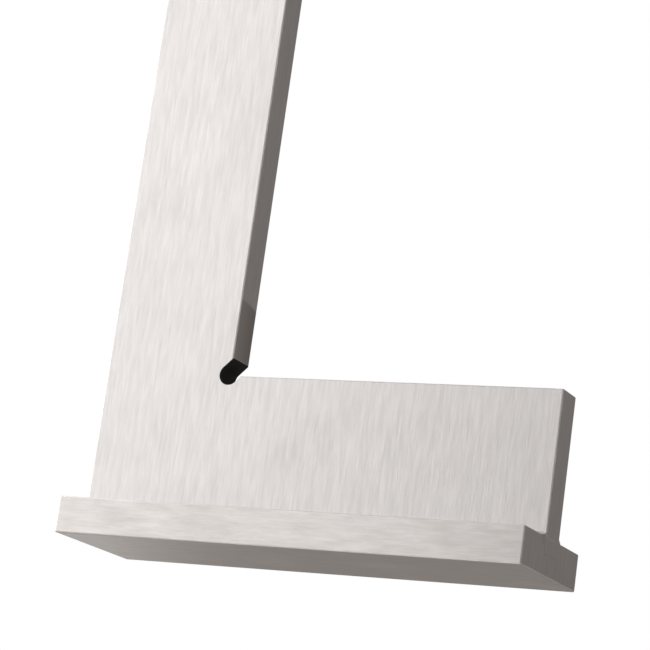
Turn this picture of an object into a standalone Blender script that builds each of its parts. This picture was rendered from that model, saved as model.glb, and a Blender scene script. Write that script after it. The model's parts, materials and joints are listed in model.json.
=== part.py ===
"""Flanged steel square: an L-shaped blade let into the groove of a wide stop base.

Metres, +Z up. The origin lies on the sole's plane, under the middle of the object. The long leg
rises along +Z at the -X end, the short leg runs along +X, and the front face looks along -Y.
"""

import math

import bmesh
import bpy

MM = 0.001

# Blade: both legs are one plate.
LEG_HEIGHT = 100 * MM  # sole to the long leg's tip
LEG_LENGTH = 70 * MM  # outer edge to the short leg's free end
LONG_LEG_WIDTH = 20 * MM
SHORT_LEG_TOP = 25.2 * MM  # sole to the short leg's upper edge
BLADE_THICKNESS = 5 * MM

# Relief slot in the inner corner, cut at 45 degrees, with a round end inside the blade.
SLOT_WIDTH = 3 * MM
SLOT_END_INSET = 0.3 * MM  # the round end's centre, left of the long leg's inner edge
SLOT_END_RISE = 0.15 * MM  # and above the short leg's upper edge
SLOT_ARC_STEPS = 24

# Stop base: a bar under the blade, with a ledge on each side of it.
BASE_WIDTH = 21 * MM
BASE_THICKNESS = 5.2 * MM
BASE_SETBACK = 0.3 * MM  # its outer end stops short of the blade's outer edge
GROOVE_DEPTH = 2.4 * MM

# Blind dowels between the blade's lower edge and the groove's floor.
DOWEL_DIAMETER = 2.5 * MM
DOWEL_LENGTH = 6 * MM
DOWEL_DEPTH_IN_BASE = 1.8 * MM
DOWEL_SPACING = 24 * MM
DOWEL_COUNT = 3
DOWEL_SIDES = 48
DOWEL_CHAMFER = 0.3 * MM

# Solder runs in the two roots, each on a chamfer at the groove's mouth. The front run lies low and
# wide, and the rear one is small.
FRONT, REAR = -1, 1  # the sides of the blade, along Y
SOLDER_TOE = {FRONT: 1.8 * MM, REAR: 0.4 * MM}  # how far a run reaches over the base
SOLDER_RISE = {FRONT: 0.62 * MM, REAR: 0.4 * MM}  # and up the blade
SOLDER_LIP = 0.06 * MM  # thickness left at a run's thin edges
SOLDER_HOLLOW = 0.08  # how far its face sags, as a share of the face's length
SOLDER_FACE_STEPS = 10

# Fits and edges.
FIT_GAP = 0.05 * MM  # between faces that touch on the real square
EDGE_BREAK = 0.18 * MM
EDGE_BREAK_SEGMENTS = 2
OVERCUT = 2 * MM  # how far a cutter reaches past the faces that it opens

MIDDLE_X = LEG_LENGTH / 2
OUTER_X = -MIDDLE_X
FREE_END_X = LEG_LENGTH - MIDDLE_X
INNER_X = OUTER_X + LONG_LEG_WIDTH
BASE_OUTER_X = OUTER_X + BASE_SETBACK
BLADE_FACE_Y = BLADE_THICKNESS / 2
GROOVE_FLOOR_Z = BASE_THICKNESS - GROOVE_DEPTH
GROOVE_WALL_Y = BLADE_FACE_Y + FIT_GAP
TONGUE_Z = GROOVE_FLOOR_Z + FIT_GAP
BREAK_FOOT_Z = BASE_THICKNESS - EDGE_BREAK  # the broken end edges have run out here
DOWEL_FOOT_Z = GROOVE_FLOOR_Z - DOWEL_DEPTH_IN_BASE
CHAMFER_GAP = math.sqrt(2) * FIT_GAP  # the fit on a 45 degree face, measured level
MOUTH_CHAMFER = {side: toe + CHAMFER_GAP for side, toe in SOLDER_TOE.items()}

# Turns that stand a flat outline up: facing along Y, or lengthwise along X.
FACING_Y = (math.radians(90), 0, 0)
ALONG_X = (math.radians(90), 0, math.radians(90))


def clear_scene():
    for item in list(bpy.data.objects):
        bpy.data.objects.remove(item, do_unlink=True)


def make_collection(name):
    collection = bpy.data.collections.new(name)
    bpy.context.scene.collection.children.link(collection)
    return collection


def metal(name, colour, roughness):
    material = bpy.data.materials.new(name)
    material.use_nodes = True
    shader = material.node_tree.nodes["Principled BSDF"]
    shader.inputs["Base Color"].default_value = (*colour, 1)
    shader.inputs["Roughness"].default_value = roughness
    shader.inputs["Metallic"].default_value = 1
    return material


def add_object(name, mesh, collection, material=None):
    item = bpy.data.objects.new(name, mesh)
    collection.objects.link(item)
    if material:
        item.data.materials.append(material)
    return item


def as_cutter(item):
    item.hide_render = True
    item.display_type = "WIRE"
    return item


def arc(centre, radius, start, end, steps):
    """Points of a circular arc, both ends included. Angles in degrees, from +X towards +Y."""
    angles = [math.radians(start + (end - start) * step / steps) for step in range(steps + 1)]
    return [(centre[0] + radius * math.cos(a), centre[1] + radius * math.sin(a)) for a in angles]


def plate(name, outline, thickness, turn, place, collection, material=None):
    """A flat outline with thickness, from a filled 2D curve that is then made a clean mesh."""
    curve = bpy.data.curves.new(name, "CURVE")
    curve.dimensions = "2D"
    curve.fill_mode = "BOTH"
    curve.extrude = thickness / 2
    spline = curve.splines.new("POLY")
    spline.points.add(len(outline) - 1)
    for point, (x, y) in zip(spline.points, outline):
        point.co = (x, y, 0, 1)
    spline.use_cyclic_u = True
    source = bpy.data.objects.new(name, curve)
    collection.objects.link(source)
    source.rotation_euler = turn
    source.location = place
    bpy.context.view_layer.update()
    depsgraph = bpy.context.evaluated_depsgraph_get()
    mesh = bpy.data.meshes.new_from_object(source.evaluated_get(depsgraph))
    matrix = source.matrix_world.copy()
    bpy.data.objects.remove(source)
    weld_caps(mesh)
    item = add_object(name, mesh, collection, material)
    item.matrix_world = matrix
    return item


def weld_caps(mesh):
    """Joins a filled curve's caps to its walls, and merges each cap's triangles into one face."""
    shape = bmesh.new()
    shape.from_mesh(mesh)
    bmesh.ops.remove_doubles(shape, verts=shape.verts, dist=0.001 * MM)
    inside_caps = [
        edge for edge in shape.edges if all(abs(face.normal.z) > 0.9 for face in edge.link_faces)
    ]
    bmesh.ops.dissolve_edges(shape, edges=inside_caps, use_verts=False)
    bmesh.ops.recalc_face_normals(shape, faces=shape.faces)
    shape.to_mesh(mesh)
    shape.free()


def block(name, low, high, collection, material=None):
    shape = bmesh.new()
    bmesh.ops.create_cube(shape, size=1)
    sides = [b - a for a, b in zip(low, high)]
    bmesh.ops.scale(shape, vec=sides, verts=shape.verts)
    mesh = bpy.data.meshes.new(name)
    shape.to_mesh(mesh)
    shape.free()
    item = add_object(name, mesh, collection, material)
    item.location = [(a + b) / 2 for a, b in zip(low, high)]
    return item


def cylinder(name, radius, low_z, high_z, x, collection, material=None):
    """An upright cylinder whose middle lies in the plane of the blade."""
    shape = bmesh.new()
    bmesh.ops.create_cone(
        shape,
        cap_ends=True,
        segments=DOWEL_SIDES,
        radius1=radius,
        radius2=radius,
        depth=high_z - low_z,
    )
    mesh = bpy.data.meshes.new(name)
    shape.to_mesh(mesh)
    shape.free()
    mesh.shade_smooth()
    mesh.set_sharp_from_angle(angle=math.radians(40))
    item = add_object(name, mesh, collection, material)
    item.location = (x, 0, (low_z + high_z) / 2)
    return item


def cut(item, cutter):
    boolean = item.modifiers.new(f"cut {cutter.name}", "BOOLEAN")
    boolean.operation = "DIFFERENCE"
    boolean.solver = "EXACT"
    boolean.object = cutter


def break_edges(item, width, segments, limit="ANGLE"):
    bevel = item.modifiers.new("broken edges", "BEVEL")
    bevel.width = width
    bevel.segments = segments
    bevel.limit_method = limit
    bevel.angle_limit = math.radians(40)


def mark_broken_edges(mesh, is_broken):
    """Gives full bevel weight to each edge whose two ends is_broken accepts."""
    shape = bmesh.new()
    shape.from_mesh(mesh)
    weight = shape.edges.layers.float.new("bevel_weight_edge")
    for edge in shape.edges:
        edge[weight] = float(is_broken(*(vert.co for vert in edge.verts)))
    shape.to_mesh(mesh)
    shape.free()


def blade_outline():
    """The L with its relief slot, in X and Z, anticlockwise from the tongue's outer corner."""
    half = SLOT_WIDTH / 2
    centre = (INNER_X - SLOT_END_INSET, SHORT_LEG_TOP + SLOT_END_RISE)
    # A slot wall runs at 45 degrees, so it crosses an edge at sqrt(2) * half from the centre line.
    offset = math.sqrt(2) * half
    lower_mouth = (centre[0] + offset - SLOT_END_RISE, SHORT_LEG_TOP)
    upper_mouth = (INNER_X, centre[1] + offset + SLOT_END_INSET)
    return [
        (OUTER_X, TONGUE_Z),
        (FREE_END_X, TONGUE_Z),
        (FREE_END_X, BREAK_FOOT_Z),
        (FREE_END_X, BASE_THICKNESS),
        (FREE_END_X, SHORT_LEG_TOP),
        lower_mouth,
        *arc(centre, half, -45, -225, SLOT_ARC_STEPS),
        upper_mouth,
        (INNER_X, LEG_HEIGHT),
        (OUTER_X, LEG_HEIGHT),
        (OUTER_X, BASE_THICKNESS),
        (OUTER_X, BREAK_FOOT_Z),
    ]


def is_broken_on_blade(first, second):
    """True above the base, off the slot: along a face's rim, or across the plate at a corner."""
    above_base = min(first.y, second.y) > BASE_THICKNESS - FIT_GAP
    if abs(first.z - second.z) < FIT_GAP:
        return above_base and (first - second).length > SLOT_WIDTH
    at_end = abs(first.x) > MIDDLE_X - FIT_GAP and first.y > BASE_THICKNESS + FIT_GAP
    return at_end or first.y > LEG_HEIGHT - FIT_GAP


def dowel_places():
    first = -DOWEL_SPACING * (DOWEL_COUNT - 1) / 2
    return [first + DOWEL_SPACING * index for index in range(DOWEL_COUNT)]


def make_dowel_cutters(cutters):
    """Blind holes, wider than the dowels by the fit and open at both faces of the joint."""
    radius = DOWEL_DIAMETER / 2 + FIT_GAP
    top = DOWEL_FOOT_Z + DOWEL_LENGTH + 5 * FIT_GAP
    return [
        as_cutter(cylinder(f"dowel_hole_{index}", radius, DOWEL_FOOT_Z, top, x, cutters))
        for index, x in enumerate(dowel_places(), start=1)
    ]


def make_blade(parts, dowel_cutters, material):
    blade = plate(
        "blade", blade_outline(), BLADE_THICKNESS, FACING_Y, (0, 0, 0), parts, material
    )
    mark_broken_edges(blade.data, is_broken_on_blade)
    break_edges(blade, EDGE_BREAK, EDGE_BREAK_SEGMENTS, "WEIGHT")
    for cutter in dowel_cutters:
        cut(blade, cutter)


def groove_outline():
    """The groove's section in Y and Z: straight walls below, and a mouth chamfered for the solder."""
    front, rear = MOUTH_CHAMFER[FRONT], MOUTH_CHAMFER[REAR]
    return [
        (-GROOVE_WALL_Y, GROOVE_FLOOR_Z),
        (GROOVE_WALL_Y, GROOVE_FLOOR_Z),
        (GROOVE_WALL_Y, BASE_THICKNESS - rear),
        (GROOVE_WALL_Y + rear + OVERCUT, BASE_THICKNESS + OVERCUT),
        (-GROOVE_WALL_Y - front - OVERCUT, BASE_THICKNESS + OVERCUT),
        (-GROOVE_WALL_Y, BASE_THICKNESS - front),
    ]


def make_stop_base(parts, cutters, dowel_cutters, material):
    half = BASE_WIDTH / 2
    base = block(
        "stop_base", (BASE_OUTER_X, -half, 0), (FREE_END_X, half, BASE_THICKNESS), parts, material
    )
    break_edges(base, EDGE_BREAK, EDGE_BREAK_SEGMENTS)
    groove_length = LEG_LENGTH + 2 * OVERCUT
    groove = plate("groove", groove_outline(), groove_length, ALONG_X, (0, 0, 0), cutters)
    for cutter in [as_cutter(groove), *dowel_cutters]:
        cut(base, cutter)


def hollow_face(foot, top):
    """Points of a run's hollow face: a shallow parabola from its foot on the base up to the blade."""
    across, up = top[0] - foot[0], top[1] - foot[1]
    points = []
    for step in range(SOLDER_FACE_STEPS + 1):
        share = step / SOLDER_FACE_STEPS
        sag = 4 * share * (1 - share) * SOLDER_HOLLOW
        points.append((foot[0] + across * share - up * sag, foot[1] + up * share + across * sag))
    return points


def solder_outline(side):
    """A run's section in Y and Z: it fills the groove's chamfer and has a hollow face."""
    toe_y = GROOVE_WALL_Y + SOLDER_TOE[side]
    top_z = BASE_THICKNESS + SOLDER_RISE[side]
    section = [
        (GROOVE_WALL_Y, BASE_THICKNESS - MOUTH_CHAMFER[side] + CHAMFER_GAP),
        (toe_y, BASE_THICKNESS),
        *hollow_face((toe_y, BASE_THICKNESS + SOLDER_LIP), (GROOVE_WALL_Y + SOLDER_LIP, top_z)),
        (GROOVE_WALL_Y, top_z),
    ]
    return [(side * y, z) for y, z in section]


def make_solder(name, side, parts, material):
    length = FREE_END_X - BASE_OUTER_X
    middle = (FREE_END_X + BASE_OUTER_X) / 2
    plate(name, solder_outline(side), length, ALONG_X, (middle, 0, 0), parts, material)


def make_dowels(parts, material):
    for index, x in enumerate(dowel_places(), start=1):
        foot = DOWEL_FOOT_Z + FIT_GAP
        dowel = cylinder(
            f"dowel_{index}", DOWEL_DIAMETER / 2, foot, foot + DOWEL_LENGTH, x, parts, material
        )
        break_edges(dowel, DOWEL_CHAMFER, 1)


def main():
    clear_scene()
    parts = make_collection("steel_square")
    cutters = make_collection("cutters")
    dowel_cutters = make_dowel_cutters(cutters)
    make_blade(parts, dowel_cutters, metal("blade steel", (0.72, 0.71, 0.70), 0.34))
    make_stop_base(
        parts, cutters, dowel_cutters, metal("base steel", (0.68, 0.67, 0.66), 0.38)
    )
    solder = metal("solder", (0.62, 0.62, 0.62), 0.42)
    make_solder("solder_front", FRONT, parts, solder)
    make_solder("solder_rear", REAR, parts, solder)
    make_dowels(parts, metal("dowel steel", (0.55, 0.55, 0.56), 0.25))


main()
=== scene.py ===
"""Looks of the flanged steel square: ground steel, soldered roots and a plain pale studio.

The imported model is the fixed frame. Blade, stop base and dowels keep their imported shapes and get
their finishes here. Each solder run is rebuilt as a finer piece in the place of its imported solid.
Lengths are in metres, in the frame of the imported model: +Z up the long leg, +X along the short
leg, and the front face looks along -Y.
"""

import json
import logging
import math
from collections.abc import Callable
from dataclasses import dataclass
from enum import Enum

import bpy
from mathutils import Matrix, Vector


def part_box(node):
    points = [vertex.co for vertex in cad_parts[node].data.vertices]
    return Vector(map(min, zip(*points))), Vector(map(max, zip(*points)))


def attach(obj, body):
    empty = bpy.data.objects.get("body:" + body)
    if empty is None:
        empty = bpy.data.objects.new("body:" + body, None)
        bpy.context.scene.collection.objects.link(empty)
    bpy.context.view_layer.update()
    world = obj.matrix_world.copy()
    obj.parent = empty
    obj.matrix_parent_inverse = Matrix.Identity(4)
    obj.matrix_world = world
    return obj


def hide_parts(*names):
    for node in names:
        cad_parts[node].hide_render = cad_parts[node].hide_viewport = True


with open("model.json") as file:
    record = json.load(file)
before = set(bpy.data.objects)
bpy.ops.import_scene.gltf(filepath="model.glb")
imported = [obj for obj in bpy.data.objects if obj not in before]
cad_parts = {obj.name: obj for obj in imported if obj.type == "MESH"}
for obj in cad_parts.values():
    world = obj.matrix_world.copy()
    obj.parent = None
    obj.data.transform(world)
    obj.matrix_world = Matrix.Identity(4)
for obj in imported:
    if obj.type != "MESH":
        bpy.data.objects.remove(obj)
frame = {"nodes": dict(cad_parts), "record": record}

LOG = logging.getLogger("steel_square")
MM = 0.001
SEED = 11  # of the ripples on the solder
STEEP = 0.6  # a face turned so far towards a direction, as a cosine, counts as facing it
RIM_WIDTH = 0.5 * MM  # how far bright edge wear keeps off the relief slot
HAIR = 0.015 * MM  # the slack of a mask that picks out a face
SIN_45 = math.sqrt(0.5)
SHARP_ANGLE = math.radians(30)  # faces that meet at more than this keep a crisp edge

Socket = bpy.types.NodeSocket
Sockets = dict[str, Socket]
Colour = tuple[float, float, float]
Point = tuple[float, float, float]
Pair = tuple[float, float]  # a span, a size, or a point in a plane
Value = float | tuple[float, ...] | Socket
Values = dict[str, Value]


class SocketKind(Enum):
    """The kinds of socket that the node groups here have."""

    VALUE = "NodeSocketFloat"
    VECTOR = "NodeSocketVector"
    COUNT = "NodeSocketInt"
    GEOMETRY = "NodeSocketGeometry"
    MATERIAL = "NodeSocketMaterial"


class MixKind(Enum):
    """What a Mix node mixes. The value is its data type, its inputs' numbers and its output's."""

    NUMBER = ("FLOAT", (0, 2, 3), 0)
    VECTOR = ("VECTOR", (0, 4, 5), 1)
    COLOUR = ("RGBA", (0, 6, 7), 2)


class Grind(Enum):
    """Which way the wheel's lines run on a part's wide faces. The value is the group's input."""

    UPRIGHT = 1.0
    LENGTHWISE = 0.0


class Root(Enum):
    """The two corners between blade and base. The value is the side of the blade, along Y."""

    FRONT = -1
    REAR = 1


class Desk:
    """A node tree, with short ways to add nodes and to join them."""

    def __init__(self, tree: bpy.types.NodeTree) -> None:
        """Takes the tree that the nodes go into."""
        self.tree = tree

    def feed(self, socket: Socket, value: Value) -> None:
        """Gives an input its value, or links it where the value is another socket.

        Args:
            socket: The input.
            value: A plain value or another node's output.
        """
        if isinstance(value, bpy.types.NodeSocket):
            self.tree.links.new(value, socket)
        else:
            socket.default_value = value

    def add(
        self, kind: str, inputs: dict[str | int, Value] | None = None, **settings: object
    ) -> bpy.types.Node:
        """Adds a node.

        Args:
            kind: The node's type name.
            inputs: What each input gets, by the input's name or number.
            **settings: The node's own properties.

        Returns:
            The new node.
        """
        node = self.tree.nodes.new(kind)
        for name, value in settings.items():
            setattr(node, name, value)
        for key, value in (inputs or {}).items():
            self.feed(node.inputs[key], value)
        return node

    def math(self, operation: str, *values: Value) -> Socket:
        """Returns the result of a Math node on these values."""
        return self.add("ShaderNodeMath", dict(enumerate(values)), operation=operation).outputs[0]

    def vector(self, operation: str, *values: Value) -> Socket:
        """Does a sum with vectors.

        Args:
            operation: The Vector Math node's operation.
            *values: What its vector inputs get, in order.

        Returns:
            A number for a dot product, else a vector.
        """
        node = self.add("ShaderNodeVectorMath", dict(enumerate(values)), operation=operation)
        return node.outputs["Value" if operation == "DOT_PRODUCT" else "Vector"]

    def scale(self, vector: Value, factor: Value) -> Socket:
        """Returns the vector made this many times as long."""
        node = self.add("ShaderNodeVectorMath", {0: vector, "Scale": factor}, operation="SCALE")
        return node.outputs["Vector"]

    def ramp(self, value: Value, span: Pair, low: float = 0.0, high: float = 1.0) -> Socket:
        """Maps a value smoothly from a span to low..high.

        Args:
            value: The number that is mapped.
            span: The value below which the result is low, and the one past which it is high.
            low: The result at the span's start.
            high: The result at its end.

        Returns:
            The mapped number.
        """
        start, end = span
        inputs = {"Value": value, "From Min": start, "From Max": end, "To Min": low, "To Max": high}
        node = self.add("ShaderNodeMapRange", inputs, interpolation_type="SMOOTHSTEP")
        return node.outputs["Result"]

    def mix(
        self, share: Value, first: Value, second: Value, kind: MixKind = MixKind.NUMBER
    ) -> Socket:
        """Mixes two values.

        Args:
            share: How far the result lies from the first towards the second, from 0 to 1.
            first: The first value.
            second: The second value.
            kind: Whether they are numbers, vectors or colours.

        Returns:
            The mixed value.
        """
        data_type, inputs, output = kind.value
        node = self.add("ShaderNodeMix", data_type=data_type)
        for number, value in zip(inputs, (share, first, second)):
            self.feed(node.inputs[number], value)
        return node.outputs[output]

    def noise(
        self, vector: Value, detail: float = 2.0, roughness: float = 0.5, scale: float = 1.0
    ) -> Socket:
        """Makes a noise.

        Args:
            vector: Where the noise is read.
            detail: How many finer layers it has.
            roughness: How strong those layers are.
            scale: How many features there are in one unit of the vector.

        Returns:
            The noise, from 0 to 1, around a half.
        """
        inputs = {"Vector": vector, "Scale": scale, "Detail": detail, "Roughness": roughness}
        return self.add("ShaderNodeTexNoise", inputs, noise_dimensions="3D").outputs["Fac"]

    def combine(self, x: Value, y: Value, z: Value) -> Socket:
        """Returns the vector of these three numbers."""
        return self.add("ShaderNodeCombineXYZ", {"X": x, "Y": y, "Z": z}).outputs[0]

    def separate(self, vector: Value) -> tuple[Socket, Socket, Socket]:
        """Returns a vector's three numbers."""
        node = self.add("ShaderNodeSeparateXYZ", {0: vector})
        return node.outputs[0], node.outputs[1], node.outputs[2]


def new_group(
    name: str,
    kind: str,
    takes: dict[str, SocketKind],
    gives: dict[str, SocketKind],
    build: Callable[[Desk, Sockets], Values],
) -> bpy.types.NodeTree:
    """Makes a node group with named inputs and outputs.

    Args:
        name: The group's name.
        kind: The node tree's type name.
        takes: The inputs, by name.
        gives: The outputs, by name.
        build: Makes the nodes between them: it gets the desk and the inputs, and returns what
            each output gets.

    Returns:
        The group's tree.
    """
    tree = bpy.data.node_groups.new(name, kind)
    for label, socket in takes.items():
        tree.interface.new_socket(label, in_out="INPUT", socket_type=socket.value)
    for label, socket in gives.items():
        tree.interface.new_socket(label, in_out="OUTPUT", socket_type=socket.value)
    desk = Desk(tree)
    entry = desk.add("NodeGroupInput")
    results = build(desk, {label: entry.outputs[label] for label in takes})
    desk.add("NodeGroupOutput", results)
    return tree


def ground_upright(desk: Desk, facing: Socket, upright: Value) -> Socket:
    """Finds out which way the wheel's lines run on a face.

    End faces are ground up and down. Wide faces are ground upright or lengthwise, as asked, and
    faces that look up or down are ground lengthwise.

    Args:
        desk: The desk of the tree that asks.
        facing: The face's normal.
        upright: 1 where the wide faces are ground upright, else 0.

    Returns:
        1 where the lines run upright and 0 where they run lengthwise.
    """
    facing_x, facing_y, _ = (desk.math("ABSOLUTE", part) for part in desk.separate(facing))
    wide_or_end = desk.math("MULTIPLY_ADD", facing_y, upright, facing_x)
    return desk.math("GREATER_THAN", wide_or_end, STEEP)


def grind_direction(desk: Desk, given: Sockets) -> Values:
    """Turns a place on the steel so that the wheel's lines run along the result's Z.

    Args:
        desk: The group's desk.
        given: Place, Facing and Upright.

    Returns:
        The group's one output, Place.
    """
    upright = ground_upright(desk, given["Facing"], given["Upright"])
    x, y, z = desk.separate(given["Place"])
    lengthwise = desk.combine(z, y, x)
    return {"Place": desk.mix(upright, lengthwise, given["Place"], MixKind.VECTOR)}


@dataclass(frozen=True)
class LineLayer:
    """One layer of a grinding wheel's lines: a noise drawn out along them.

    Attributes:
        widths: How many line widths a feature is wide.
        lengths: How many line lengths it is long.
        offset: How far along the noise the layer starts, so that no two layers are alike.
        detail: How many finer layers the noise has.
        roughness: How strong those are.
        shows: The noise at which a feature starts to show, and at which it shows in full.
    """

    widths: float
    lengths: float
    offset: float
    detail: float
    roughness: float
    shows: Pair


# The layers, by the name of the output that each one gives.
LINE_LAYERS = {
    "Lines": LineLayer(
        widths=1.0, lengths=1.0, offset=0.0, detail=3.0, roughness=0.65, shows=(0.28, 0.72)
    ),
    "Bands": LineLayer(
        widths=4.0, lengths=2.0, offset=31.0, detail=2.0, roughness=0.5, shows=(0.3, 0.7)
    ),
    "Scores": LineLayer(
        widths=1.6, lengths=1.8, offset=77.0, detail=1.0, roughness=0.4, shows=(0.66, 0.76)
    ),
}


def wheel_lines(desk: Desk, given: Sockets) -> Values:
    """The lines that a grinding wheel leaves, along Z.

    Args:
        desk: The group's desk.
        given: Place, Width and Length of a line, and Wander, how far it strays sideways.

    Returns:
        Lines, fine and even; Bands, wide and slow; Scores, a few deeper scratches.
    """
    x, y, z = desk.separate(given["Place"])
    slow = desk.math("DIVIDE", z, desk.math("MULTIPLY", given["Length"], 0.5))
    stray = desk.math("SUBTRACT", desk.noise(desk.combine(x, y, slow), detail=1.0), 0.5)
    shift = desk.math("MULTIPLY", stray, given["Wander"])
    x = desk.math("ADD", x, shift)
    y = desk.math("ADD", y, shift)
    results = {}
    for label, layer in LINE_LAYERS.items():
        width = desk.math("MULTIPLY", given["Width"], layer.widths)
        length = desk.math("MULTIPLY", given["Length"], layer.lengths)
        along = desk.math("ADD", desk.math("DIVIDE", z, length), layer.offset)
        place = desk.combine(desk.math("DIVIDE", x, width), desk.math("DIVIDE", y, width), along)
        results[label] = desk.ramp(desk.noise(place, layer.detail, layer.roughness), layer.shows)
    return results


def edge_wear(desk: Desk, given: Sockets) -> Values:
    """Where edges have been stoned and rubbed bright, broken up along the edge.

    Args:
        desk: The group's desk.
        given: Place, and Reach, how far from an edge the wear goes.

    Returns:
        Wear, from 0 on a flat to 1 on a bright edge.
    """
    patches_per_metre = 900.0
    patch_noise, patch_strength = (0.3, 0.65), (0.55, 1.0)
    edge_turn = (0.01, 0.22)  # how far the surface turns at an edge, as 1 less the cosine
    rounded = desk.add("ShaderNodeBevel", {"Radius": given["Reach"]}, samples=6).outputs[0]
    flat = desk.add("ShaderNodeNewGeometry").outputs["True Normal"]
    turned = desk.math("SUBTRACT", 1.0, desk.vector("DOT_PRODUCT", rounded, flat))
    patchy = desk.noise(given["Place"], detail=3.0, scale=patches_per_metre)
    strength = desk.ramp(patchy, patch_noise, *patch_strength)
    return {"Wear": desk.math("MULTIPLY", desk.ramp(turned, edge_turn), strength)}


def handling(desk: Desk, given: Sockets) -> Values:
    """Faint clouds that hands and oil leave on bright steel.

    Args:
        desk: The group's desk.
        given: Place, and Size, about how wide a cloud is.

    Returns:
        Clouds, around a half, and Haze, a sparse mask of duller patches.
    """
    cloud_noise, haze_noise = (0.25, 0.75), (0.5, 0.75)
    elsewhere = (5.3, 1.7, 9.1)  # so that the haze doesn't follow the clouds
    sizes = desk.combine(given["Size"], given["Size"], given["Size"])
    scaled = desk.vector("DIVIDE", given["Place"], sizes)
    clouds = desk.noise(scaled, detail=4.0, roughness=0.55)
    haze = desk.noise(desk.vector("ADD", scaled, elsewhere))
    return {"Clouds": desk.ramp(clouds, cloud_noise), "Haze": desk.ramp(haze, haze_noise)}


def inside_slot(desk: Desk, given: Sockets) -> Values:
    """Picks out the walls of the relief slot, which is cut at 45 degrees into the inner corner.

    Args:
        desk: The group's desk.
        given: Place; Centre X and Centre Z of the round end; Reach, half the slot's width and a
            hair more; Depth, half the plate's thickness and a hair less.

    Returns:
        Slot, 1 on the walls and 0 elsewhere, and Rim, 1 at the slot and 0 a rim's width from it.
    """
    x, y, z = desk.separate(given["Place"])
    right = desk.math("SUBTRACT", x, given["Centre X"])
    up = desk.math("SUBTRACT", z, given["Centre Z"])
    across = desk.math("MULTIPLY", desk.math("SUBTRACT", right, up), SIN_45)
    along = desk.math("MULTIPLY", desk.math("ADD", right, up), SIN_45)
    behind = desk.math("MINIMUM", along, 0.0)
    squares = (desk.math("MULTIPLY", across, across), desk.math("MULTIPLY", behind, behind))
    distance = desk.math("SQRT", desk.math("ADD", *squares))
    near = desk.math("LESS_THAN", distance, given["Reach"])
    within = desk.math("LESS_THAN", desk.math("ABSOLUTE", y), given["Depth"])
    past = desk.math("SUBTRACT", distance, given["Reach"])
    return {
        "Slot": desk.math("MULTIPLY", near, within),
        "Rim": desk.ramp(past, (0.0, RIM_WIDTH), 1.0, 0.0),
    }


def inner_edge_painted_shade(desk: Desk, given: Sockets) -> Values:
    """Painted shade on the long leg's inner edge, down by the relief slot, deeper to the rear.

    Args:
        desk: The group's desk.
        given: Place; Edge X of the inner edge; Height, up to which the painted shade reaches at its
            front;
        Depth, half the plate's thickness; Sag, how far that line falls to the rear; Blur, the
        height over which it fades.

    Returns:
        The painted shade, 0 above the line and elsewhere, rising below it from front to rear.
    """
    front_share, rear_share = 0.4, 1.0
    x, y, z = desk.separate(given["Place"])
    off_edge = desk.math("ABSOLUTE", desk.math("SUBTRACT", x, given["Edge X"]))
    on_edge = desk.math("LESS_THAN", off_edge, HAIR)
    rearward = desk.math("MULTIPLY_ADD", desk.math("DIVIDE", y, given["Depth"]), 0.5, 0.5)
    fall = desk.math("MULTIPLY", desk.math("MULTIPLY", rearward, rearward), given["Sag"])
    below = desk.math("SUBTRACT", desk.math("SUBTRACT", given["Height"], fall), z)
    faded = desk.ramp(desk.math("DIVIDE", below, given["Blur"]), (0.0, 1.0))
    strength = desk.math("MULTIPLY", on_edge, desk.mix(rearward, front_share, rear_share))
    return {"Dull": desk.math("MULTIPLY", faded, strength)}


@dataclass(frozen=True)
class SteelFinish:
    """A ground metal surface: its tints, its gloss, and the lines that the wheel left.

    Attributes:
        name: The material's name.
        dark: The tint at the bottom of a line.
        light: The tint on the lands between lines.
        edge: The tint of a bright edge.
        roughness: The middle roughness.
        swing: How far the roughness moves with the lines and clouds.
        anisotropy: How far a highlight is drawn out across the lines.
        grind: Which way the lines run on the wide faces.
        line_width: The width of a fine line.
        line_length: Its length.
        wander: How far it strays sideways.
        line_depth: The height of the lines' relief.
        shares: How much of the tone the lines, the bands and the clouds each give.
        scores: How far a deeper scratch darkens the tone.
        cloud_size: About how wide a cloud of handling marks is.
        edge_reach: How far from an edge the bright wear goes.
        edge_polish: How much smoother a worn edge is, as a share of the roughness.
    """

    name: str
    dark: Colour
    light: Colour
    edge: Colour
    roughness: float
    swing: float
    anisotropy: float
    grind: Grind
    line_width: float
    line_length: float
    wander: float
    line_depth: float
    shares: tuple[float, float, float]
    scores: float
    cloud_size: float
    edge_reach: float
    edge_polish: float = 0.4


@dataclass(frozen=True)
class InnerCorner:
    """The blade's inner corner: the relief slot's walls, painted near-black as shade, and the
    painted shade on the edge above it.

    Attributes:
        centre: X and Z of the middle of the slot's round end.
        edge: X of the long leg's inner edge.
        half_width: Half the slot's width.
        half_depth: Half the plate's thickness.
        wall: The near-black colour painted on the slot's walls as the shade inside it.
        wall_roughness: The roughness of those painted walls.
        painted_shade: The darker tint painted on the inner edge by the slot, as shade.
        painted_shade_height: How far above the slot's centre the painted shade reaches.
        painted_shade_sag: How far its upper end falls from front to rear.
        painted_shade_blur: The height over which it fades.
    """

    centre: Pair
    edge: float
    half_width: float
    half_depth: float
    # painted shade: the slot's walls are coloured near-black, non-metal and rough to stand for the
    # shade inside the slot
    wall: Colour = (0.003, 0.0026, 0.0022)
    wall_roughness: float = 0.9
    # painted shade: a darker tint on the long leg's inner edge low by the slot, deeper to the rear
    painted_shade: Colour = (0.41, 0.37, 0.345)
    painted_shade_height: float = 11.4 * MM
    painted_shade_sag: float = 0.8 * MM
    painted_shade_blur: float = 0.6 * MM


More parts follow.
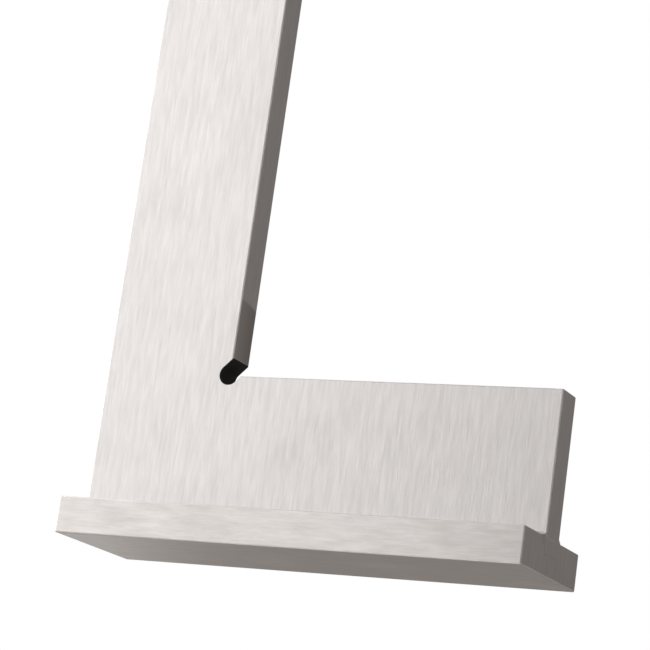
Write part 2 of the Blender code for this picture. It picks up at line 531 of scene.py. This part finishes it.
BLADE_FINISH = SteelFinish(
    name="ground blade steel",
    dark=(0.647, 0.626, 0.619),
    light=(0.782, 0.757, 0.75),
    edge=(0.84, 0.83, 0.84),
    roughness=0.36,
    swing=0.06,
    anisotropy=0.55,
    grind=Grind.UPRIGHT,
    line_width=0.16 * MM,
    line_length=3.0 * MM,
    wander=0.10 * MM,
    line_depth=0.005 * MM,
    shares=(0.42, 0.38, 0.2),
    scores=0.10,
    cloud_size=12 * MM,
    edge_reach=0.25 * MM,
)
BASE_FINISH = SteelFinish(
    name="ground base steel",
    dark=(0.628, 0.603, 0.588),
    light=(0.762, 0.735, 0.719),
    edge=(0.84, 0.83, 0.84),
    roughness=0.38,
    swing=0.06,
    anisotropy=0.5,
    grind=Grind.LENGTHWISE,
    line_width=0.26 * MM,
    line_length=2.8 * MM,
    wander=0.25 * MM,
    line_depth=0.003 * MM,
    shares=(0.45, 0.35, 0.2),
    scores=0.08,
    cloud_size=9 * MM,
    edge_reach=0.28 * MM,
)
SOLDER_FINISH = SteelFinish(
    name="wiped solder",
    dark=(0.58, 0.565, 0.555),
    light=(0.67, 0.65, 0.64),
    edge=(0.70, 0.685, 0.675),
    roughness=0.42,
    swing=0.08,
    anisotropy=0.0,
    grind=Grind.LENGTHWISE,
    line_width=0.25 * MM,
    line_length=1.5 * MM,
    wander=0.3 * MM,
    line_depth=0.006 * MM,
    shares=(0.35, 0.35, 0.3),
    scores=0.05,
    cloud_size=3 * MM,
    edge_reach=0.1 * MM,
)
DOWEL_FINISH = SteelFinish(
    name="fine ground dowel steel",
    dark=(0.48, 0.48, 0.49),
    light=(0.62, 0.62, 0.63),
    edge=(0.75, 0.75, 0.76),
    roughness=0.25,
    swing=0.08,
    anisotropy=0.3,
    grind=Grind.LENGTHWISE,
    line_width=0.1 * MM,
    line_length=2 * MM,
    wander=0.02 * MM,
    line_depth=0.002 * MM,
    shares=(0.6, 0.2, 0.2),
    scores=0.05,
    cloud_size=2 * MM,
    edge_reach=0.15 * MM,
)


class Polisher:
    """Makes the materials, from shader groups that it builds once."""

    def __init__(self) -> None:
        """Builds the shared groups."""
        place = {"Place": SocketKind.VECTOR}
        value = SocketKind.VALUE
        self.direction = self._group(
            "grind direction",
            {**place, "Facing": SocketKind.VECTOR, "Upright": value},
            {"Place": SocketKind.VECTOR},
            grind_direction,
        )
        self.lines = self._group(
            "wheel lines",
            {**place, "Width": value, "Length": value, "Wander": value},
            {"Lines": value, "Bands": value, "Scores": value},
            wheel_lines,
        )
        self.wear = self._group("edge wear", {**place, "Reach": value}, {"Wear": value}, edge_wear)
        self.handling = self._group(
            "handling", {**place, "Size": value}, {"Clouds": value, "Haze": value}, handling
        )
        slot_inputs = dict.fromkeys(("Centre X", "Centre Z", "Reach", "Depth"), value)
        slot_outputs = dict.fromkeys(("Slot", "Rim"), value)
        self.slot = self._group("inside slot", {**place, **slot_inputs}, slot_outputs, inside_slot)
        edge_inputs = dict.fromkeys(("Edge X", "Height", "Depth", "Sag", "Blur"), value)
        # the group that masks the painted shade on the inner edge by the slot
        self.edge_shade = self._group(
            "wheel run-out", {**place, **edge_inputs}, {"Dull": value}, inner_edge_painted_shade
        )

    @staticmethod
    def _group(
        name: str,
        takes: dict[str, SocketKind],
        gives: dict[str, SocketKind],
        build: Callable[[Desk, Sockets], Values],
    ) -> bpy.types.NodeTree:
        """Makes one shader group."""
        return new_group(name, "ShaderNodeTree", takes, gives, build)

    @staticmethod
    def _use(desk: Desk, group: bpy.types.NodeTree, inputs: Values) -> bpy.types.Node:
        """Places a shared group in a material.

        Args:
            desk: The material's desk.
            group: The group's tree.
            inputs: What each of its inputs gets.

        Returns:
            The group's node.
        """
        node = desk.add("ShaderNodeGroup", node_tree=group)
        for label, value in inputs.items():
            desk.feed(node.inputs[label], value)
        return node

    def steel(self, finish: SteelFinish, corner: InnerCorner | None = None) -> bpy.types.Material:
        """Makes a ground metal material.

        Args:
            finish: The surface's values.
            corner: The inner corner's values, on the part that has it.

        Returns:
            The material.
        """
        material = bpy.data.materials.new(finish.name)
        material.use_nodes = True
        desk = Desk(material.node_tree)
        shader = material.node_tree.nodes["Principled BSDF"]
        place = desk.add("ShaderNodeTexCoord").outputs["Object"]
        facing = desk.add("ShaderNodeNewGeometry").outputs["True Normal"]
        turned = self._use(
            desk, self.direction, {"Place": place, "Facing": facing, "Upright": finish.grind.value}
        )
        line_sizes = {
            "Place": turned.outputs["Place"],
            "Width": finish.line_width,
            "Length": finish.line_length,
            "Wander": finish.wander,
        }
        lines = self._use(desk, self.lines, line_sizes)
        marks = self._use(desk, self.handling, {"Place": place, "Size": finish.cloud_size})
        wear = self._use(desk, self.wear, {"Place": place, "Reach": finish.edge_reach}).outputs[0]
        if corner:
            slot, painted_shade = self._corner_masks(desk, place, corner)
            wear = desk.math("MULTIPLY", wear, desk.math("SUBTRACT", 1.0, slot.outputs["Rim"]))
        tone = self._tone(desk, finish, lines, marks)
        colour = desk.mix(tone, (*finish.dark, 1), (*finish.light, 1), MixKind.COLOUR)
        colour = desk.mix(wear, colour, (*finish.edge, 1), MixKind.COLOUR)
        roughness = self._roughness(desk, finish, tone, marks, wear)
        relief = desk.math("SUBTRACT", lines.outputs["Lines"], lines.outputs["Scores"])
        heights = {"Height": relief, "Strength": 1.0, "Distance": finish.line_depth}
        bump = desk.add("ShaderNodeBump", heights)
        if corner:
            mask = slot.outputs["Slot"]
            # painted shade: the inner edge by the slot is tinted darker, more so towards the rear
            colour = desk.mix(painted_shade, colour, (*corner.painted_shade, 1), MixKind.COLOUR)
            # painted shade: the slot's walls are painted near-black and made non-metal
            colour = desk.mix(mask, colour, (*corner.wall, 1), MixKind.COLOUR)
            roughness = desk.mix(mask, roughness, corner.wall_roughness)
            desk.feed(shader.inputs["Metallic"], desk.math("SUBTRACT", 1.0, mask))
        else:
            shader.inputs["Metallic"].default_value = 1.0
        shader.inputs["Anisotropic"].default_value = finish.anisotropy
        desk.feed(shader.inputs["Tangent"], self._across_lines(desk, facing, finish.grind))
        desk.feed(shader.inputs["Base Color"], colour)
        desk.feed(shader.inputs["Roughness"], roughness)
        desk.feed(shader.inputs["Normal"], bump.outputs["Normal"])
        return material

    @staticmethod
    def _tone(
        desk: Desk, finish: SteelFinish, lines: bpy.types.Node, marks: bpy.types.Node
    ) -> Socket:
        """Works out how light the steel is.

        Args:
            desk: The material's desk.
            finish: The surface's values.
            lines: The node with the wheel's lines.
            marks: The node with the handling marks.

        Returns:
            The tone, from 0 for dark to 1 for light.
        """
        fine, broad, cloudy = finish.shares
        tone = desk.math("MULTIPLY", lines.outputs["Lines"], fine)
        tone = desk.math("MULTIPLY_ADD", lines.outputs["Bands"], broad, tone)
        tone = desk.math("MULTIPLY_ADD", marks.outputs["Clouds"], cloudy, tone)
        return desk.math("MULTIPLY_ADD", lines.outputs["Scores"], -finish.scores, tone)

    @staticmethod
    def _roughness(
        desk: Desk, finish: SteelFinish, tone: Socket, marks: bpy.types.Node, wear: Socket
    ) -> Socket:
        """Works out the roughness: smoother on light lands and worn edges, duller under haze.

        Args:
            desk: The material's desk.
            finish: The surface's values.
            tone: How light the steel is.
            marks: The node with the handling marks.
            wear: How bright the edge wear is.

        Returns:
            The roughness.
        """
        rough = desk.math("MULTIPLY_ADD", tone, -finish.swing, finish.roughness + finish.swing / 2)
        rough = desk.math("MULTIPLY_ADD", marks.outputs["Haze"], finish.swing / 2, rough)
        return desk.math("MULTIPLY_ADD", wear, -finish.roughness * finish.edge_polish, rough)

    @staticmethod
    def _across_lines(desk: Desk, facing: Socket, grind: Grind) -> Socket:
        """Returns the direction across the wheel's lines, in which a highlight is drawn out.

        Args:
            desk: The material's desk.
            facing: The surface's normal.
            grind: Which way the lines run on the wide faces.

        Returns:
            A direction along the surface.
        """
        upright = ground_upright(desk, facing, grind.value)
        along = desk.combine(desk.math("SUBTRACT", 1.0, upright), 0.0, upright)
        return desk.vector("CROSS_PRODUCT", facing, along)

    def _corner_masks(
        self, desk: Desk, place: Socket, corner: InnerCorner
    ) -> tuple[bpy.types.Node, Socket]:
        """Makes the masks of the inner corner.

        Args:
            desk: The material's desk.
            place: Where on the steel the masks are read.
            corner: The inner corner's values.

        Returns:
            The relief slot's node, with its two masks, and the mask of the painted shade on the
            inner edge.
        """
        slot = {
            "Place": place,
            "Centre X": corner.centre[0],
            "Centre Z": corner.centre[1],
            "Reach": corner.half_width + HAIR,
            "Depth": corner.half_depth - HAIR,
        }
        edge = {
            "Place": place,
            "Edge X": corner.edge,
            "Height": corner.centre[1] + corner.painted_shade_height,
            "Depth": corner.half_depth,
            "Sag": corner.painted_shade_sag,
            "Blur": corner.painted_shade_blur,
        }
        painted_shade = self._use(desk, self.edge_shade, edge).outputs["Dull"]
        return self._use(desk, self.slot, slot), painted_shade


def hollow_face(foot: Pair, top: Pair, hollow: float, steps: int) -> list[Pair]:
    """Points of a shallow parabola that sags below the straight line between its ends.

    Args:
        foot: The first point.
        top: The last point.
        hollow: How far it sags, as a share of that line's length.
        steps: How many steps there are between them.

    Returns:
        The points, both ends included.
    """
    across, up = top[0] - foot[0], top[1] - foot[1]
    points = []
    for step in range(steps + 1):
        share = step / steps
        sag = 4 * share * (1 - share) * hollow
        points.append((foot[0] + across * share - up * sag, foot[1] + up * share + across * sag))
    return points


def finished_mesh(
    source: bpy.types.Object, tree: bpy.types.NodeTree, sizes: dict[str, object], name: str
) -> bpy.types.Object:
    """Runs a geometry tree on an object and keeps the result as a plain mesh.

    Args:
        source: The object that the tree starts from.
        tree: The geometry tree.
        sizes: What each of the tree's inputs gets, by the input's name.
        name: The new object's name.

    Returns:
        The new object, with its place in its mesh and no modifier.
    """
    modifier = source.modifiers.new(tree.name, "NODES")
    modifier.node_group = tree
    for item in tree.interface.items_tree:
        if item.in_out == "INPUT" and item.name in sizes:
            modifier[item.identifier] = sizes[item.name]
    depsgraph = bpy.context.evaluated_depsgraph_get()
    mesh = bpy.data.meshes.new_from_object(source.evaluated_get(depsgraph))
    source.modifiers.remove(modifier)
    mesh.name = name
    mesh.shade_smooth()
    mesh.set_sharp_from_angle(angle=SHARP_ANGLE)
    piece = bpy.data.objects.new(name, mesh)
    bpy.context.scene.collection.objects.link(piece)
    return piece


@dataclass
class SolderRun:
    """One run of solder in a root, with its film down the groove and under the blade.

    Attributes:
        node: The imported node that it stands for.
        root: Which root it fills.
        ripple: How high the ripples on its hollow face are.
        ripple_length: About how long a ripple is.
        feather: How far from the steel the ripples reach their full height.
        rings: How many sections there are along the run.
        hollow: How far its face sags, as a share of the face's length.
        face_steps: How many steps that face has.
    """

    node: str
    root: Root
    ripple: float = 0.02 * MM
    ripple_length: float = 2.5 * MM
    feather: float = 0.2 * MM
    rings: int = 280
    hollow: float = 0.08
    face_steps: int = 14

    def section(self) -> list[Pair]:
        """Draws the run's outline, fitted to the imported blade, base and solder.

        Returns:
            The outline's points, as Y and Z.
        """
        blade_low, blade_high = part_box("blade")
        base_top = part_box("stop_base")[1].z
        low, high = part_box(self.node)
        wall = min(abs(low.y), abs(high.y))
        fit = wall - blade_high.y
        mouth = max(abs(low.y), abs(high.y)) - wall + math.sqrt(2) * fit
        toe, top = (wall + mouth, base_top), (blade_high.y, high.z)
        face = hollow_face(toe, top, self.hollow, self.face_steps)
        floor = blade_low.z - fit
        points = [
            (0.0, floor),
            (wall, floor),
            (wall, base_top - mouth),
            *face,
            (blade_high.y, blade_low.z),
            (0.0, blade_low.z),
        ]
        side = self.root.value
        return [(side * y, z) for y, z in (points if side > 0 else points[::-1])]

    def profile(self) -> bpy.types.Object:
        """Draws the section as a closed flat curve, which the sweep stands upright.

        Returns:
            The curve's object.
        """
        curve = bpy.data.curves.new(f"{self.node}_section", "CURVE")
        spline = curve.splines.new("POLY")
        points = self.section()
        spline.points.add(len(points) - 1)
        for point, (y, z) in zip(spline.points, points):
            point.co = (y, z, 0, 1)
        spline.use_cyclic_u = True
        item = bpy.data.objects.new(f"{self.node}_section", curve)
        bpy.context.scene.collection.objects.link(item)
        return item

    def sweep(self, desk: Desk, given: Sockets) -> Values:
        """The nodes that draw the section along the root and ripple its hollow face.

        Args:
            desk: The tree's desk.
            given: The tree's inputs.

        Returns:
            The tree's one output, Geometry.
        """
        start = desk.combine(given["Start"], 0.0, 0.0)
        end = desk.combine(given["End"], 0.0, 0.0)
        line = desk.add("GeometryNodeCurvePrimitiveLine", {"Start": start, "End": end})
        rings = {"Curve": line.outputs[0], "Count": given["Rings"]}
        path = desk.add("GeometryNodeResampleCurve", rings)
        path = desk.add("GeometryNodeSetCurveTilt", {"Curve": path.outputs[0], "Tilt": math.pi})
        swept = desk.add(
            "GeometryNodeCurveToMesh",
            {"Curve": path.outputs[0], "Profile Curve": given["Geometry"], "Fill Caps": True},
        )
        place = desk.add("GeometryNodeInputPosition").outputs[0]
        _, y, z = desk.separate(place)
        off_blade = desk.math("SUBTRACT", desk.math("ABSOLUTE", y), given["Root Y"])
        off_base = desk.math("SUBTRACT", z, given["Root Z"])
        share = desk.math("MULTIPLY", self._clear(desk, off_blade), self._clear(desk, off_base))
        scale = desk.math("DIVIDE", 1.0, given["Ripple Length"])
        noise = desk.add(
            "ShaderNodeTexNoise",
            {"Vector": place, "W": given["Seed"], "Scale": scale, "Detail": 2.0},
            noise_dimensions="4D",
        )
        swell = desk.math("SUBTRACT", noise.outputs[0], 0.5)
        height = desk.math("MULTIPLY", desk.math("MULTIPLY", swell, given["Ripple"]), share)
        normal = desk.add("GeometryNodeInputNormal").outputs[0]
        sideways = desk.vector("MULTIPLY", normal, (0.0, 1.0, 1.0))
        offset = desk.scale(sideways, height)
        moved = desk.add(
            "GeometryNodeSetPosition", {"Geometry": swept.outputs[0], "Offset": offset}
        )
        whole = desk.add("GeometryNodeRealizeInstances", {"Geometry": moved.outputs[0]})
        dressed = desk.add(
            "GeometryNodeSetMaterial", {"Geometry": whole.outputs[0], "Material": given["Material"]}
        )
        return {"Geometry": dressed.outputs[0]}

    def _clear(self, desk: Desk, distance: Socket) -> Socket:
        """Returns 0 on a neighbour's face, rising to 1 where the solder is clear of it."""
        return desk.ramp(distance, (0.0, self.feather))

    def build(self, material: bpy.types.Material) -> bpy.types.Object:
        """Makes the run as a plain mesh in its place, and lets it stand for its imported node.

        Args:
            material: The solder's material.

        Returns:
            The finished piece.
        """
        lengths = ("Start", "End", "Root Y", "Root Z", "Ripple", "Ripple Length", "Seed")
        takes = {
            "Geometry": SocketKind.GEOMETRY,
            **dict.fromkeys(lengths, SocketKind.VALUE),
            "Rings": SocketKind.COUNT,
            "Material": SocketKind.MATERIAL,
        }
        gives = {"Geometry": SocketKind.GEOMETRY}
        tree = new_group(f"{self.node} sweep", "GeometryNodeTree", takes, gives, self.sweep)
        low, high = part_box(self.node)
        sizes = {
            "Start": low.x,
            "End": high.x,
            "Root Y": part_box("blade")[1].y,
            "Root Z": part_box("stop_base")[1].z,
            "Ripple": 2 * self.ripple,  # from the lowest point to the highest
            "Ripple Length": self.ripple_length,
            "Seed": float(SEED + self.root.value),
            "Rings": self.rings,
            "Material": material,
        }
        profile = self.profile()
        piece = finished_mesh(profile, tree, sizes, f"{self.node}_run")
        bpy.data.objects.remove(profile)
        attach(piece, "root")
        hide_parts(self.node)
        return piece


@dataclass
class SteelBody:
    """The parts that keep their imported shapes: the blade, the stop base and the dowels.

    Attributes:
        slot_width: The relief slot's width.
        slot_inset: How far the round end's centre lies inside the long leg's inner edge.
        slot_rise: How far it lies above the short leg's upper edge.
        dowels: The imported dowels' names.
    """

    slot_width: float = 3 * MM
    slot_inset: float = 0.3 * MM
    slot_rise: float = 0.15 * MM
    dowels: tuple[str, ...] = ("dowel_1", "dowel_2", "dowel_3")

    def corner(self) -> InnerCorner:
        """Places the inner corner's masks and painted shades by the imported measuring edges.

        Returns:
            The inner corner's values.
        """
        mounts = {mount["name"]: mount["pos_m"] for mount in frame["record"]["mounts"]}
        edge = mounts["inner_measuring_edge"][0]
        centre = (edge - self.slot_inset, mounts["short_leg_edge"][2] + self.slot_rise)
        return InnerCorner(centre, edge, self.slot_width / 2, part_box("blade")[1].y)

    def dress(self, polisher: Polisher) -> list[bpy.types.Object]:
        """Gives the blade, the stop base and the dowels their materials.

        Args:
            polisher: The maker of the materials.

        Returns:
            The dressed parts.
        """
        finishes = {
            "blade": polisher.steel(BLADE_FINISH, self.corner()),
            "stop_base": polisher.steel(BASE_FINISH),
            **dict.fromkeys(self.dowels, polisher.steel(DOWEL_FINISH)),
        }
        parts = []
        for node, material in finishes.items():
            part = frame["nodes"][node]
            part.data.materials.clear()
            part.data.materials.append(material)
            parts.append(part)
        return parts


@dataclass(frozen=True)
class Softbox:
    """A flat soft light that faces the square.

    Attributes:
        name: The light's name.
        place: Where its middle is.
        size: Its width and height.
        power: Its power in watts.
        colour: Its colour.
    """

    name: str
    place: Point
    size: Pair
    power: float
    colour: Colour = (1.0, 1.0, 1.0)

    def build(self, aim: Vector) -> None:
        """Makes the light and turns it towards a point.

        Args:
            aim: The point.
        """
        data = bpy.data.lights.new(self.name, "AREA")
        data.shape = "RECTANGLE"
        data.size, data.size_y = self.size
        data.energy = self.power
        data.color = self.colour
        item = bpy.data.objects.new(self.name, data)
        bpy.context.scene.collection.objects.link(item)
        item.location = self.place
        item.rotation_euler = (Vector(self.place) - aim).to_track_quat("Z", "Y").to_euler()
        item.visible_camera = False


@dataclass(frozen=True)
class Glow:
    """A soft bright part of the room around the square.

    Attributes:
        towards: The direction of its middle.
        spread: The cosines at which it ends and at which it is full.
        level: How bright it is.
        colour: Its colour.
    """

    towards: Point
    spread: Pair
    level: float
    colour: Colour = (1.0, 1.0, 1.0)


@dataclass
class Studio:
    """The pale floor, the soft light and the camera.

    Attributes:
        floor_side: The floor's width.
        floor_drop: How far the floor lies below the sole, so that the two never coincide.
        fade: The distances at which the floor starts to fade, and is gone into the background.
        paper: The floor's colour.
        paper_glow: How brightly it is lit beyond what the softboxes give.
        paper_roughness: Its roughness.
        standpoint: Where the camera stands, below the sole and to the right.
        aim: The point that it looks at.
        roll: Its turn about the line of sight, in degrees.
        lens: Its focal length in millimetres.
        near: How close a thing may come to it and still be seen.
        middle: The point that the lights face.
        room: The colour of the dim room.
        glows: The brighter parts of the room.
        lights: The softboxes.
    """

    floor_side: float = 6.0
    floor_drop: float = 0.1 * MM
    fade: Pair = (0.3, 0.9)
    paper: Colour = (0.66, 0.655, 0.65)
    paper_glow: float = 0.36
    paper_roughness: float = 0.9
    standpoint: Point = (0.1563, -0.3206, -0.0491)
    aim: Point = (-0.00264, 0.0, 0.03362)
    roll: float = 7.99
    lens: float = 144.6
    near: float = 0.01
    middle: Point = (0.0, 0.0, 0.03)
    room: Colour = (0.132, 0.122, 0.114)
    glows: tuple[Glow, ...] = (
        Glow((-0.1, -0.35, -1.0), (0.66, 0.98), 1.1, (1.05, 1.0, 0.95)),
        Glow((-0.8, -0.5, -0.2), (0.35, 0.95), 0.25, (1.03, 1.0, 0.97)),
        Glow((-0.65, 0.65, -0.35), (0.5, 0.95), 0.06, (1.06, 1.0, 0.94)),
        Glow((0.6, 0.55, -0.6), (0.8, 0.99), 0.7, (1.04, 1.0, 0.96)),
        Glow((0.56, 0.77, 0.30), (0.93, 0.995), 0.08, (1.06, 1.0, 0.95)),
        Glow((0.0, 0.1, 1.0), (0.55, 0.98), 0.9),
    )
    lights: tuple[Softbox, ...] = (
        Softbox("left softbox", (-0.40, -0.13, 0.20), (0.34, 0.42), 0.9),
        Softbox("front softbox", (-0.23, -0.37, 0.15), (0.26, 0.42), 0.33),
        Softbox("front right card", (0.14, -0.42, 0.13), (0.10, 0.30), 0.09, (0.95, 0.98, 1.0)),
        Softbox("right strip", (0.40, -0.10, 0.12), (0.16, 0.36), 0.36, (1.0, 0.99, 0.98)),
        Softbox("low card", (-0.27, 0.27, -0.11), (0.16, 0.14), 0.04),
        Softbox("rear left softbox", (-0.35, 0.20, 0.22), (0.20, 0.30), 0.3),
        Softbox("top softbox", (0.0, 0.05, 0.60), (0.40, 0.40), 1.0),
    )

    def build(self) -> None:
        """Makes the floor, the background, the lights and the camera."""
        self._floor()
        self._background()
        for light in self.lights:
            light.build(Vector(self.middle))
        self._camera()

    def _floor(self) -> None:
        """Makes a pale floor that is seen from above only, because the camera looks at the sole."""
        bpy.ops.mesh.primitive_plane_add(size=self.floor_side, location=(0, 0, -self.floor_drop))
        floor = bpy.context.object
        floor.name = "studio_floor"
        material = bpy.data.materials.new("pale floor")
        material.use_nodes = True
        desk = Desk(material.node_tree)
        paper = material.node_tree.nodes["Principled BSDF"]
        paper.inputs["Base Color"].default_value = (*self.paper, 1)
        paper.inputs["Roughness"].default_value = self.paper_roughness
        paper.inputs["Emission Color"].default_value = (*self.paper, 1)
        paper.inputs["Emission Strength"].default_value = self.paper_glow
        x, y, _ = desk.separate(desk.add("ShaderNodeTexCoord").outputs["Object"])
        square = desk.math("ADD", desk.math("MULTIPLY", x, x), desk.math("MULTIPLY", y, y))
        far = desk.ramp(desk.math("SQRT", square), self.fade)
        below = desk.add("ShaderNodeNewGeometry").outputs["Backfacing"]
        clear = desk.add("ShaderNodeBsdfTransparent")
        mixed = desk.add(
            "ShaderNodeMixShader",
            {0: desk.math("MAXIMUM", far, below), 1: paper.outputs[0], 2: clear.outputs[0]},
        )
        output = material.node_tree.nodes["Material Output"]
        desk.feed(output.inputs["Surface"], mixed.outputs[0])
        floor.data.materials.append(material)
        floor.visible_glossy = False
        floor.visible_shadow = False

    def _background(self) -> None:
        """Makes a white background, and a dimmer room around it that only lights the steel."""
        world = bpy.data.worlds.new("studio")
        bpy.context.scene.world = world
        world.use_nodes = True
        desk = Desk(world.node_tree)
        white = world.node_tree.nodes["Background"]
        white.inputs["Color"].default_value = (1, 1, 1, 1)
        direction = desk.add("ShaderNodeTexCoord").outputs["Generated"]
        tint = desk.combine(*self.room)
        for glow in self.glows:
            middle = tuple(Vector(glow.towards).normalized())
            nearness = desk.vector("DOT_PRODUCT", direction, middle)
            full = tuple(glow.level * part for part in glow.colour)
            tint = desk.vector("ADD", tint, desk.scale(full, desk.ramp(nearness, glow.spread)))
        room = desk.add("ShaderNodeBackground", {"Color": tint})
        seen = desk.add("ShaderNodeLightPath").outputs["Is Camera Ray"]
        mixed = desk.add("ShaderNodeMixShader", {0: seen, 1: room.outputs[0], 2: white.outputs[0]})
        desk.feed(world.node_tree.nodes["World Output"].inputs["Surface"], mixed.outputs[0])

    def _camera(self) -> None:
        """Makes the camera and turns it to the square."""
        data = bpy.data.cameras.new("camera")
        data.lens = self.lens
        data.clip_start = self.near
        camera = bpy.data.objects.new("camera", data)
        bpy.context.scene.collection.objects.link(camera)
        back = Vector(self.standpoint) - Vector(self.aim)
        upright = back.to_track_quat("Z", "Y").to_matrix().to_4x4()
        rolled = upright @ Matrix.Rotation(math.radians(self.roll), 4, "Z")
        camera.matrix_world = Matrix.Translation(self.standpoint) @ rolled
        bpy.context.scene.camera = camera


def main() -> None:
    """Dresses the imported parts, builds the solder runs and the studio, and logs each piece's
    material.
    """
    logging.basicConfig(level=logging.INFO, format="%(name)s: %(message)s")
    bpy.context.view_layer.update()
    bpy.context.scene.view_settings.view_transform = "Standard"
    polisher = Polisher()
    pieces = SteelBody().dress(polisher)
    solder = polisher.steel(SOLDER_FINISH)
    for node, root in (("solder_front", Root.FRONT), ("solder_rear", Root.REAR)):
        pieces.append(SolderRun(node, root).build(solder))
    for piece in pieces:
        LOG.info("%s: %s", piece.name, piece.data.materials[0].name)
    Studio().build()


if __name__ == "__main__":
    main()
